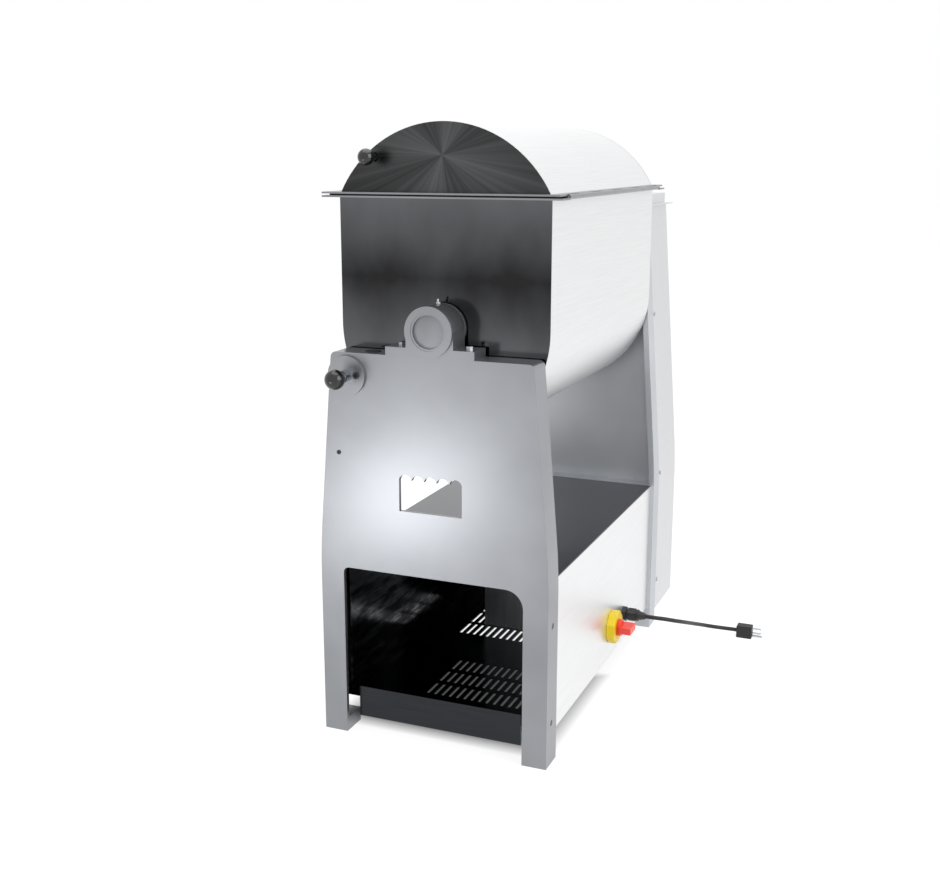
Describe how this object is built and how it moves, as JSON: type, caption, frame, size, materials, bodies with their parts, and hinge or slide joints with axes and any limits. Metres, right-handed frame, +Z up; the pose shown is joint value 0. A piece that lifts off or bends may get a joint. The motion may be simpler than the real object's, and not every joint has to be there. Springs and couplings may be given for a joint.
{
  "type": "tilting tub paddle mixer",
  "caption": "Floor-standing powered paddle mixer: cast end frames carry a tilting stainless tub with a hinged domed lid, index plunger, base cabinet, switch and mains cord.",
  "frame": {"origin": "middle of the bounding box on the floor, without the cord", "axes": "+Z up, -Y towards the front frame with the index plunger, +X towards the side with the switch"},
  "size_m": [0.6769, 0.9624, 1.087],
  "materials": {
    "cast_aluminium": "satin cast, fine grain",
    "satin_steel": "fine satin stainless sheet",
    "dark_steel": "dark polished sheet",
    "polished_steel": "polished stainless plate, radially brushed on the lid",
    "brushed_box": "brushed",
    "bright_parts": "machined",
    "dark_bolts": "black oxide",
    "black_plastic": "glossy moulded",
    "bearing_steel": "ground",
    "motor_paint": "hammered paint",
    "gear_steel": "machined",
    "belt_rubber": "matt",
    "seal_plastic": "machined plastic",
    "gasket_rubber": "matt",
    "yellow_plastic": "moulded",
    "red_plastic": "moulded",
    "cord_rubber": "smooth jacket"
  },
  "bodies": {
    "stand": {"front_frame": "cast_aluminium", "rear_frame": "cast_aluminium", "rear_cover": "satin_steel", "rear_cover_cap": "satin_steel", "base_side_right": "satin_steel", "base_side_left": "satin_steel", "base_top": "dark_steel", "base_pan": "dark_steel", "cabinet_lining": "dark_steel", "motor_box": "brushed_box", "pillow_block": "cast_aluminium", "pillow_bush": "bearing_steel", "pillow_bolts": "bright_parts", "grease_nipple": "bright_parts", "frame_bolts": "dark_bolts", "cover_screws": "bright_parts", "frame_top_plug": "black_plastic", "frame_screw": "dark_bolts", "index_sleeve": "bright_parts", "index_set_screw": "dark_bolts", "index_spring": "bright_parts", "rear_bearing": "bearing_steel", "countershaft_bearing": "bearing_steel", "motor_housing": "motor_paint", "motor_end_bells": "motor_paint", "motor_terminal_box": "motor_paint", "drive_belt": "belt_rubber", "switch_plate": "yellow_plastic", "cable_gland": "black_plastic", "power_cord": "cord_rubber", "plug_body": "cord_rubber", "plug_blades": "bright_parts"},
    "tub": {"tub_shell": "satin_steel", "tub_front_plate": "polished_steel", "tub_rear_plate": "polished_steel", "tub_flange": "satin_steel", "front_trunnion": "cast_aluminium", "rear_trunnion": "bearing_steel", "shaft_seals": "seal_plastic", "tub_hinge_knuckles": "satin_steel", "hinge_pin": "bright_parts"},
    "lid": {"lid_shell": "satin_steel", "lid_end_plates": "polished_steel", "lid_flange": "satin_steel", "lid_gasket": "gasket_rubber", "lid_hinge_knuckles": "satin_steel", "lid_knob": "black_plastic"},
    "index_plunger": {"index_rod": "bright_parts", "index_knob": "black_plastic"},
    "switch_handle": {"switch_knob": "red_plastic"},
    "paddle": {"paddle_shaft": "bright_parts", "paddle_arms": "bright_parts", "paddle_blades": "bright_parts", "bull_gear": "gear_steel"},
    "countershaft": {"countershaft": "gear_steel", "pinion": "gear_steel", "driven_pulley": "gear_steel"},
    "motor_rotor": {"motor_rotor": "bearing_steel", "motor_fan": "black_plastic", "motor_pulley": "gear_steel"}
  },
  "joints": [
    {"name": "tub_tilt", "type": "hinge", "parent": "stand", "child": "tub", "pos_m": [-0.0185, -0.01875, 0.748], "axis": [0, -1, 0], "range_deg": [0, 90]},
    {"name": "lid_open", "type": "hinge", "parent": "tub", "child": "lid", "pos_m": [0.1935, -0.01875, 0.9675], "axis": [0, 1, 0], "range_deg": [0, 100]},
    {"name": "index_pull", "type": "slide", "parent": "stand", "child": "index_plunger", "axis": [0, -1, 0], "range_m": [0, 0.014], "stiffness_N_per_m": 600, "springref_m": -0.01, "deforming": ["index_spring"]},
    {"name": "switch_turn", "type": "hinge", "parent": "stand", "child": "switch_handle", "pos_m": [0.2115, -0.00375, 0.11], "axis": [1, 0, 0], "range_deg": [0, 90]},
    {"name": "paddle_spin", "type": "hinge", "parent": "stand", "child": "paddle", "pos_m": [-0.0185, -0.01875, 0.748], "axis": [0, 1, 0], "continuous": true},
    {"name": "countershaft_spin", "type": "hinge", "parent": "stand", "child": "countershaft", "pos_m": [-0.0185, 0.36125, 0.628], "axis": [0, 1, 0], "continuous": true},
    {"name": "motor_spin", "type": "hinge", "parent": "stand", "child": "motor_rotor", "pos_m": [0.0375, 0.28125, 0.185], "axis": [0, 1, 0], "continuous": true}
  ],
  "couplings": [
    {"joint": "countershaft_spin", "follows": "paddle_spin", "ratio": -4},
    {"joint": "motor_spin", "follows": "paddle_spin", "ratio": -14.667}
  ]
}
